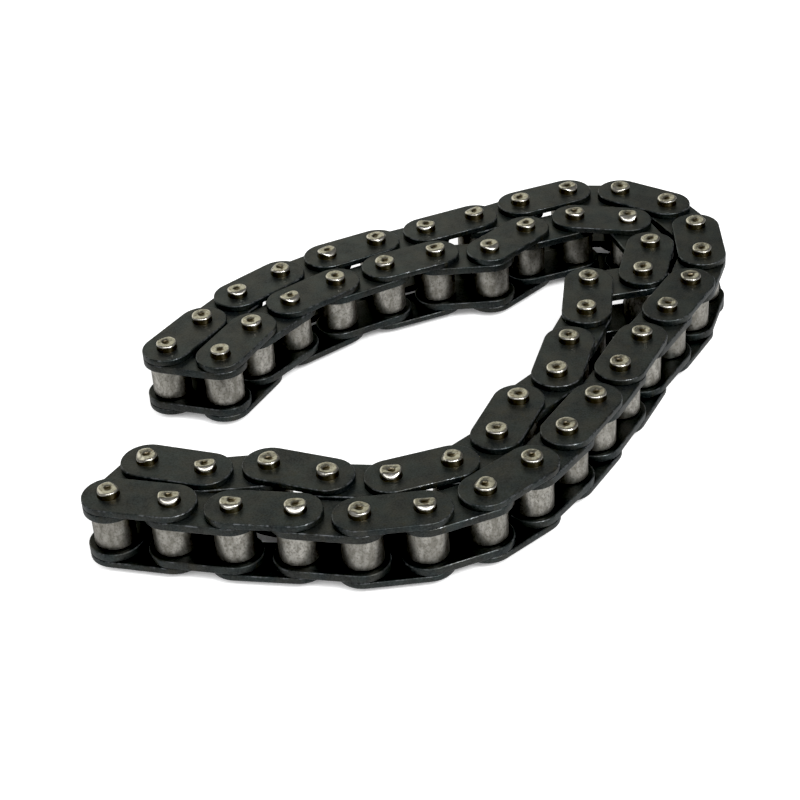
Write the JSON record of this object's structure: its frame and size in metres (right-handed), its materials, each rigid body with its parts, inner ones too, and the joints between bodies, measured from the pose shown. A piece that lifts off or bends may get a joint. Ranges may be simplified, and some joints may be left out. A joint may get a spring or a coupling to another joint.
{
  "type": "roller chain",
  "caption": "Endless single-strand roller chain with straight-sided plates, lying on its side, folded double into an open C.",
  "frame": {"origin": "centre of the footprint at the level of the lower pin ends, on which the chain stands", "axes": "+Z along the pins, upwards; +X towards the closed bend of the C, across the longest side; +Y towards the upper arm"},
  "size_m": [0.1064, 0.1, 0.0131],
  "materials": {
    "blackened_plate": "satin black oxide",
    "bright_pin": "bright, riveted",
    "roller_steel": "matte, tumbled",
    "bush_steel": "satin"
  },
  "bodies": {
    "outer_link_01": {"outer_link_01": "blackened_plate"},
    "inner_link_01": {"inner_link_01": "blackened_plate"},
    "outer_link_02": {"outer_link_02": "blackened_plate"},
    "inner_link_02": {"inner_link_02": "blackened_plate"},
    "outer_link_03": {"outer_link_03": "blackened_plate"},
    "inner_link_03": {"inner_link_03": "blackened_plate"},
    "outer_link_04": {"outer_link_04": "blackened_plate"},
    "inner_link_04": {"inner_link_04": "blackened_plate"},
    "outer_link_05": {"outer_link_05": "blackened_plate"},
    "inner_link_05": {"inner_link_05": "blackened_plate"},
    "outer_link_06": {"outer_link_06": "blackened_plate"},
    "inner_link_06": {"inner_link_06": "blackened_plate"},
    "outer_link_07": {"outer_link_07": "blackened_plate"},
    "inner_link_07": {"inner_link_07": "blackened_plate"},
    "outer_link_08": {"outer_link_08": "blackened_plate"},
    "inner_link_08": {"inner_link_08": "blackened_plate"},
    "outer_link_09": {"outer_link_09": "blackened_plate"},
    "inner_link_09": {"inner_link_09": "blackened_plate"},
    "outer_link_10": {"outer_link_10": "blackened_plate"},
    "inner_link_10": {"inner_link_10": "blackened_plate"},
    "outer_link_11": {"outer_link_11": "blackened_plate"},
    "inner_link_11": {"inner_link_11": "blackened_plate"},
    "outer_link_12": {"outer_link_12": "blackened_plate"},
    "inner_link_12": {"inner_link_12": "blackened_plate"},
    "outer_link_13": {"outer_link_13": "blackened_plate"},
    "inner_link_13": {"inner_plate_upper": "blackened_plate", "inner_plate_lower": "blackened_plate", "bush_a": "bush_steel", "bush_b": "bush_steel"},
    "outer_link_14": {"outer_plate_upper": "blackened_plate", "outer_plate_lower": "blackened_plate", "pin_a": "bright_pin", "pin_b": "bright_pin"},
    "inner_link_14": {"inner_link_14": "blackened_plate"},
    "outer_link_15": {"outer_link_15": "blackened_plate"},
    "inner_link_15": {"inner_link_15": "blackened_plate"},
    "outer_link_16": {"outer_link_16": "blackened_plate"},
    "inner_link_16": {"inner_link_16": "blackened_plate"},
    "outer_link_17": {"outer_link_17": "blackened_plate"},
    "inner_link_17": {"inner_link_17": "blackened_plate"},
    "outer_link_18": {"outer_link_18": "blackened_plate"},
    "inner_link_18": {"inner_link_18": "blackened_plate"},
    "outer_link_19": {"outer_link_19": "blackened_plate"},
    "inner_link_19": {"inner_link_19": "blackened_plate"},
    "outer_link_20": {"outer_link_20": "blackened_plate"},
    "inner_link_20": {"inner_link_20": "blackened_plate"},
    "outer_link_21": {"outer_link_21": "blackened_plate"},
    "inner_link_21": {"inner_link_21": "blackened_plate"},
    "outer_link_22": {"outer_link_22": "blackened_plate"},
    "inner_link_22": {"inner_link_22": "blackened_plate"},
    "outer_link_23": {"outer_link_23": "blackened_plate"},
    "inner_link_23": {"inner_link_23": "blackened_plate"},
    "outer_link_24": {"outer_link_24": "blackened_plate"},
    "inner_link_24": {"inner_link_24": "blackened_plate"},
    "outer_link_25": {"outer_link_25": "blackened_plate"},
    "inner_link_25": {"inner_link_25": "blackened_plate"},
    "outer_link_26": {"outer_link_26": "blackened_plate"},
    "inner_link_26": {"inner_link_26": "blackened_plate"},
    "roller_a": {"roller_a": "roller_steel"},
    "roller_b": {"roller_b": "roller_steel"}
  },
  "joints": [
    {"name": "pivot_12", "type": "hinge", "parent": "outer_link_07", "child": "inner_link_06", "pos_m": [0.04906, 0.02992, 0.00655], "axis": [0, 0, 1], "range_deg": [-0.27, 1.19]},
    {"name": "upper_arm_swing", "type": "hinge", "parent": "inner_link_06", "child": "outer_link_06", "pos_m": [0.04534, 0.03869, 0.00655], "axis": [0, 0, 1], "range_deg": [-17, 3.8]},
    {"name": "pivot_10", "type": "hinge", "parent": "outer_link_06", "child": "inner_link_05", "pos_m": [0.03773, 0.04442, 0.00655], "axis": [0, 0, 1], "range_deg": [-0.56, 2.5]},
    {"name": "pivot_09", "type": "hinge", "parent": "inner_link_05", "child": "outer_link_05", "pos_m": [0.02832, 0.04591, 0.00655], "axis": [0, 0, 1], "range_deg": [-2.79, 12.48]},
    {"name": "pivot_08", "type": "hinge", "parent": "outer_link_05", "child": "inner_link_04", "pos_m": [0.01932, 0.04281, 0.00655], "axis": [0, 0, 1], "range_deg": [-6.27, 1.41]},
    {"name": "pivot_07", "type": "hinge", "parent": "inner_link_04", "child": "outer_link_04", "pos_m": [0.01062, 0.03894, 0.00655], "axis": [0, 0, 1], "range_deg": [-18.13, 4.06]},
    {"name": "pivot_06", "type": "hinge", "parent": "outer_link_04", "child": "inner_link_03", "pos_m": [0.00172, 0.03552, 0.00655], "axis": [0, 0, 1], "range_deg": [-3.69, 0.83]},
    {"name": "pivot_05", "type": "hinge", "parent": "inner_link_03", "child": "outer_link_03", "pos_m": [-0.00728, 0.03242, 0.00655], "axis": [0, 0, 1], "range_deg": [-0.31, 1.37]},
    {"name": "pivot_04", "type": "hinge", "parent": "outer_link_03", "child": "inner_link_02", "pos_m": [-0.01605, 0.0287, 0.00655], "axis": [0, 0, 1], "range_deg": [-1.86, 0.42]},
    {"name": "pivot_03", "type": "hinge", "parent": "inner_link_02", "child": "outer_link_02", "pos_m": [-0.02421, 0.02379, 0.00655], "axis": [0, 0, 1], "range_deg": [-0.27, 1.2]},
    {"name": "pivot_02", "type": "hinge", "parent": "outer_link_02", "child": "inner_link_01", "pos_m": [-0.03151, 0.01767, 0.00655], "axis": [0, 0, 1], "range_deg": [-0.86, 3.83]},
    {"name": "pivot_01", "type": "hinge", "parent": "inner_link_01", "child": "outer_link_01", "pos_m": [-0.03724, 0.01007, 0.00655], "axis": [0, 0, 1], "range_deg": [-1.2, 0.27]},
    {"name": "pivot_00", "type": "hinge", "parent": "outer_link_01", "child": "inner_link_26", "pos_m": [-0.04271, 0.00226, 0.00655], "axis": [0, 0, 1], "range_deg": [-1.1, 4.92]},
    {"name": "pivot_51", "type": "hinge", "parent": "inner_link_26", "child": "outer_link_26", "pos_m": [-0.03374, -0.00094, 0.00655], "axis": [0, 0, 1], "range_deg": [-7.58, 1.7]},
    {"name": "pivot_50", "type": "hinge", "parent": "outer_link_26", "child": "inner_link_25", "pos_m": [-0.02883, 0.00722, 0.00655], "axis": [0, 0, 1], "range_deg": [-0.27, 1.2]},
    {"name": "pivot_49", "type": "hinge", "parent": "inner_link_25", "child": "outer_link_25", "pos_m": [-0.02246, 0.0143, 0.00655], "axis": [0, 0, 1], "range_deg": [-2.53, 0.57]},
    {"name": "pivot_48", "type": "hinge", "parent": "outer_link_25", "child": "inner_link_24", "pos_m": [-0.01466, 0.01976, 0.00655], "axis": [0, 0, 1], "range_deg": [-0.27, 1.2]},
    {"name": "pivot_47", "type": "hinge", "parent": "inner_link_24", "child": "outer_link_24", "pos_m": [-0.00602, 0.02379, 0.00655], "axis": [0, 0, 1], "range_deg": [-1.2, 0.27]},
    {"name": "pivot_46", "type": "hinge", "parent": "outer_link_24", "child": "inner_link_23", "pos_m": [0.00293, 0.02704, 0.00655], "axis": [0, 0, 1], "range_deg": [-1.98, 8.84]},
    {"name": "pivot_45", "type": "hinge", "parent": "inner_link_23", "child": "outer_link_23", "pos_m": [0.01245, 0.02688, 0.00655], "axis": [0, 0, 1], "range_deg": [-1.55, 0.35]},
    {"name": "pivot_44", "type": "hinge", "parent": "outer_link_23", "child": "inner_link_22", "pos_m": [0.01942, 0.03337, 0.00655], "axis": [0, 0, 1], "range_deg": [-1.6, 7.13]},
    {"name": "pivot_43", "type": "hinge", "parent": "inner_link_22", "child": "outer_link_22", "pos_m": [0.02848, 0.03632, 0.00655], "axis": [0, 0, 1], "range_deg": [-2.94, 13.14]},
    {"name": "pivot_42", "type": "hinge", "parent": "outer_link_22", "child": "inner_link_21", "pos_m": [0.03768, 0.03385, 0.00655], "axis": [0, 0, 1], "range_deg": [-1.19, 0.27]},
    {"name": "pivot_41", "type": "hinge", "parent": "inner_link_21", "child": "outer_link_21", "pos_m": [0.0403, 0.0247, 0.00655], "axis": [0, 0, 1], "range_deg": [-1.48, 6.62]},
    {"name": "pivot_13", "type": "hinge", "parent": "outer_link_07", "child": "inner_link_07", "pos_m": [0.04856, 0.02041, 0.00655], "axis": [0, 0, 1], "range_deg": [-0.27, 1.2]},
    {"name": "pivot_14", "type": "hinge", "parent": "inner_link_07", "child": "outer_link_08", "pos_m": [0.04515, 0.01152, 0.00655], "axis": [0, 0, 1], "range_deg": [-10.56, 2.33]},
    {"name": "pivot_15", "type": "hinge", "parent": "outer_link_08", "child": "inner_link_08", "pos_m": [0.03996, 0.00353, 0.00655], "axis": [0, 0, 1], "range_deg": [-0.27, 1.2]},
    {"name": "lower_arm_swing", "type": "hinge", "parent": "inner_link_08", "child": "outer_link_09", "pos_m": [0.03464, -0.00437, 0.00655], "axis": [0, 0, 1], "range_deg": [-2.8, 12.7]},
    {"name": "pivot_17", "type": "hinge", "parent": "outer_link_09", "child": "inner_link_09", "pos_m": [0.03002, -0.0127, 0.00655], "axis": [0, 0, 1], "range_deg": [-1.2, 0.27]},
    {"name": "pivot_18", "type": "hinge", "parent": "inner_link_09", "child": "outer_link_10", "pos_m": [0.02511, -0.02086, 0.00655], "axis": [0, 0, 1], "range_deg": [-2.51, 11.37]},
    {"name": "pivot_19", "type": "hinge", "parent": "outer_link_10", "child": "inner_link_10", "pos_m": [0.01979, -0.02876, 0.00655], "axis": [0, 0, 1], "range_deg": [-1.2, 0.27]},
    {"name": "pivot_20", "type": "hinge", "parent": "inner_link_10", "child": "outer_link_11", "pos_m": [0.01379, -0.03616, 0.00655], "axis": [0, 0, 1], "range_deg": [-6.25, 1.38]},
    {"name": "pivot_21", "type": "hinge", "parent": "outer_link_11", "child": "inner_link_11", "pos_m": [0.00639, -0.04216, 0.00655], "axis": [0, 0, 1], "range_deg": [-0.27, 1.2]},
    {"name": "pivot_22", "type": "hinge", "parent": "inner_link_11", "child": "outer_link_12", "pos_m": [-0.00256, -0.04541, 0.00655], "axis": [0, 0, 1], "range_deg": [-0.55, 2.5]},
    {"name": "pivot_23", "type": "hinge", "parent": "outer_link_12", "child": "inner_link_12", "pos_m": [-0.01207, -0.04591, 0.00655], "axis": [0, 0, 1], "range_deg": [-0.27, 1.2]},
    {"name": "pivot_24", "type": "hinge", "parent": "inner_link_12", "child": "outer_link_13", "pos_m": [-0.02135, -0.04377, 0.00655], "axis": [0, 0, 1], "range_deg": [-0.26, 1.18]},
    {"name": "pivot_25", "type": "hinge", "parent": "outer_link_13", "child": "inner_link_13", "pos_m": [-0.0307, -0.04195, 0.00655], "axis": [0, 0, 1], "range_deg": [-0.26, 1.16]},
    {"name": "pivot_26", "type": "hinge", "parent": "inner_link_13", "child": "outer_link_14", "pos_m": [-0.03991, -0.03949, 0.00655], "axis": [0, 0, 1], "range_deg": [-0.25, 1.14]},
    {"name": "pivot_27", "type": "hinge", "parent": "outer_link_14", "child": "inner_link_14", "pos_m": [-0.04906, -0.03686, 0.00655], "axis": [0, 0, 1], "range_deg": [-6.76, 1.49]},
    {"name": "pivot_28", "type": "hinge", "parent": "inner_link_14", "child": "outer_link_15", "pos_m": [-0.04384, -0.0289, 0.00655], "axis": [0, 0, 1], "range_deg": [-2.06, 9.33]},
    {"name": "pivot_29", "type": "hinge", "parent": "outer_link_15", "child": "inner_link_15", "pos_m": [-0.03489, -0.03215, 0.00655], "axis": [0, 0, 1], "range_deg": [-0.26, 1.17]},
    {"name": "pivot_30", "type": "hinge", "parent": "inner_link_15", "child": "outer_link_16", "pos_m": [-0.02536, -0.03199, 0.00655], "axis": [0, 0, 1], "range_deg": [-7.69, 1.7]},
    {"name": "pivot_31", "type": "hinge", "parent": "outer_link_16", "child": "inner_link_16", "pos_m": [-0.0166, -0.03571, 0.00655], "axis": [0, 0, 1], "range_deg": [-1.2, 0.27]},
    {"name": "pivot_32", "type": "hinge", "parent": "inner_link_16", "child": "outer_link_17", "pos_m": [-0.00719, -0.0372, 0.00655], "axis": [0, 0, 1], "range_deg": [-1.19, 0.27]},
    {"name": "pivot_33", "type": "hinge", "parent": "outer_link_17", "child": "inner_link_17", "pos_m": [0.00201, -0.03473, 0.00655], "axis": [0, 0, 1], "range_deg": [-1.2, 0.27]},
    {"name": "pivot_34", "type": "hinge", "parent": "inner_link_17", "child": "outer_link_18", "pos_m": [0.0092, -0.02848, 0.00655], "axis": [0, 0, 1], "range_deg": [-0.41, 1.84]},
    {"name": "pivot_35", "type": "hinge", "parent": "outer_link_18", "child": "inner_link_18", "pos_m": [0.01323, -0.01985, 0.00655], "axis": [0, 0, 1], "range_deg": [-1.14, 5.15]},
    {"name": "pivot_36", "type": "hinge", "parent": "inner_link_18", "child": "outer_link_19", "pos_m": [0.01996, -0.01312, 0.00655], "axis": [0, 0, 1], "range_deg": [-13.64, 3.01]},
    {"name": "pivot_37", "type": "hinge", "parent": "outer_link_19", "child": "inner_link_19", "pos_m": [0.0229, -0.00406, 0.00655], "axis": [0, 0, 1], "range_deg": [-4.31, 0.95]},
    {"name": "pivot_38", "type": "hinge", "parent": "inner_link_19", "child": "outer_link_20", "pos_m": [0.02678, 0.00464, 0.00655], "axis": [0, 0, 1], "range_deg": [-7.84, 1.73]},
    {"name": "pivot_39", "type": "hinge", "parent": "outer_link_20", "child": "inner_link_20", "pos_m": [0.02827, 0.01405, 0.00655], "axis": [0, 0, 1], "range_deg": [-2.37, 10.73]},
    {"name": "roller_a_spin", "type": "hinge", "parent": "inner_link_13", "child": "roller_a", "pos_m": [-0.0307, -0.04195, 0.00655], "axis": [0, 0, 1], "continuous": true},
    {"name": "roller_b_spin", "type": "hinge", "parent": "inner_link_13", "child": "roller_b", "pos_m": [-0.03991, -0.03949, 0.00655], "axis": [0, 0, 1], "continuous": true}
  ],
  "couplings": [
    {"joint": "pivot_12", "follows": "upper_arm_swing", "ratio": -0.06979},
    {"joint": "pivot_10", "follows": "upper_arm_swing", "ratio": -0.14685},
    {"joint": "pivot_09", "follows": "upper_arm_swing", "ratio": -0.73363},
    {"joint": "pivot_08", "follows": "upper_arm_swing", "ratio": 0.36866},
    {"joint": "pivot_07", "follows": "upper_arm_swing", "ratio": 1.066},
    {"joint": "pivot_06", "follows": "upper_arm_swing", "ratio": 0.21681},
    {"joint": "pivot_05", "follows": "upper_arm_swing", "ratio": -0.08044},
    {"joint": "pivot_04", "follows": "upper_arm_swing", "ratio": 0.10927},
    {"joint": "pivot_03", "follows": "upper_arm_swing", "ratio": -0.07045},
    {"joint": "pivot_02", "follows": "upper_arm_swing", "ratio": -0.22503},
    {"joint": "pivot_01", "follows": "upper_arm_swing", "ratio": 0.07037},
    {"joint": "pivot_00", "follows": "upper_arm_swing", "ratio": -0.28904},
    {"joint": "pivot_51", "follows": "upper_arm_swing", "ratio": 0.44549},
    {"joint": "pivot_50", "follows": "upper_arm_swing", "ratio": -0.07039},
    {"joint": "pivot_49", "follows": "upper_arm_swing", "ratio": 0.14872},
    {"joint": "pivot_48", "follows": "upper_arm_swing", "ratio": -0.07045},
    {"joint": "pivot_47", "follows": "upper_arm_swing", "ratio": 0.07026},
    {"joint": "pivot_46", "follows": "upper_arm_swing", "ratio": -0.51977},
    {"joint": "pivot_45", "follows": "upper_arm_swing", "ratio": 0.09062},
    {"joint": "pivot_44", "follows": "upper_arm_swing", "ratio": -0.41885},
    {"joint": "pivot_43", "follows": "upper_arm_swing", "ratio": -0.77265},
    {"joint": "pivot_42", "follows": "upper_arm_swing", "ratio": 0.06992},
    {"joint": "pivot_41", "follows": "upper_arm_swing", "ratio": -0.38906},
    {"joint": "pivot_13", "follows": "lower_arm_swing", "ratio": 0.09439},
    {"joint": "pivot_14", "follows": "lower_arm_swing", "ratio": -0.83082},
    {"joint": "pivot_15", "follows": "lower_arm_swing", "ratio": 0.09445},
    {"joint": "pivot_17", "follows": "lower_arm_swing", "ratio": -0.09409},
    {"joint": "pivot_18", "follows": "lower_arm_swing", "ratio": 0.89453},
    {"joint": "pivot_19", "follows": "lower_arm_swing", "ratio": -0.09427},
    {"joint": "pivot_20", "follows": "lower_arm_swing", "ratio": -0.49206},
    {"joint": "pivot_21", "follows": "lower_arm_swing", "ratio": 0.09386},
    {"joint": "pivot_22", "follows": "lower_arm_swing", "ratio": 0.19609},
    {"joint": "pivot_23", "follows": "lower_arm_swing", "ratio": 0.09386},
    {"joint": "pivot_24", "follows": "lower_arm_swing", "ratio": 0.09236},
    {"joint": "pivot_25", "follows": "lower_arm_swing", "ratio": 0.09069},
    {"joint": "pivot_26", "follows": "lower_arm_swing", "ratio": 0.08917},
    {"joint": "pivot_27", "follows": "lower_arm_swing", "ratio": -0.53174},
    {"joint": "pivot_28", "follows": "lower_arm_swing", "ratio": 0.73402},
    {"joint": "pivot_29", "follows": "lower_arm_swing", "ratio": 0.09178},
    {"joint": "pivot_30", "follows": "lower_arm_swing", "ratio": -0.60485},
    {"joint": "pivot_31", "follows": "lower_arm_swing", "ratio": -0.0942},
    {"joint": "pivot_32", "follows": "lower_arm_swing", "ratio": -0.09301},
    {"joint": "pivot_33", "follows": "lower_arm_swing", "ratio": -0.09436},
    {"joint": "pivot_34", "follows": "lower_arm_swing", "ratio": 0.14449},
    {"joint": "pivot_35", "follows": "lower_arm_swing", "ratio": 0.40531},
    {"joint": "pivot_36", "follows": "lower_arm_swing", "ratio": -1.0734},
    {"joint": "pivot_37", "follows": "lower_arm_swing", "ratio": -0.33916},
    {"joint": "pivot_38", "follows": "lower_arm_swing", "ratio": -0.61703},
    {"joint": "pivot_39", "follows": "lower_arm_swing", "ratio": 0.84422}
  ]
}
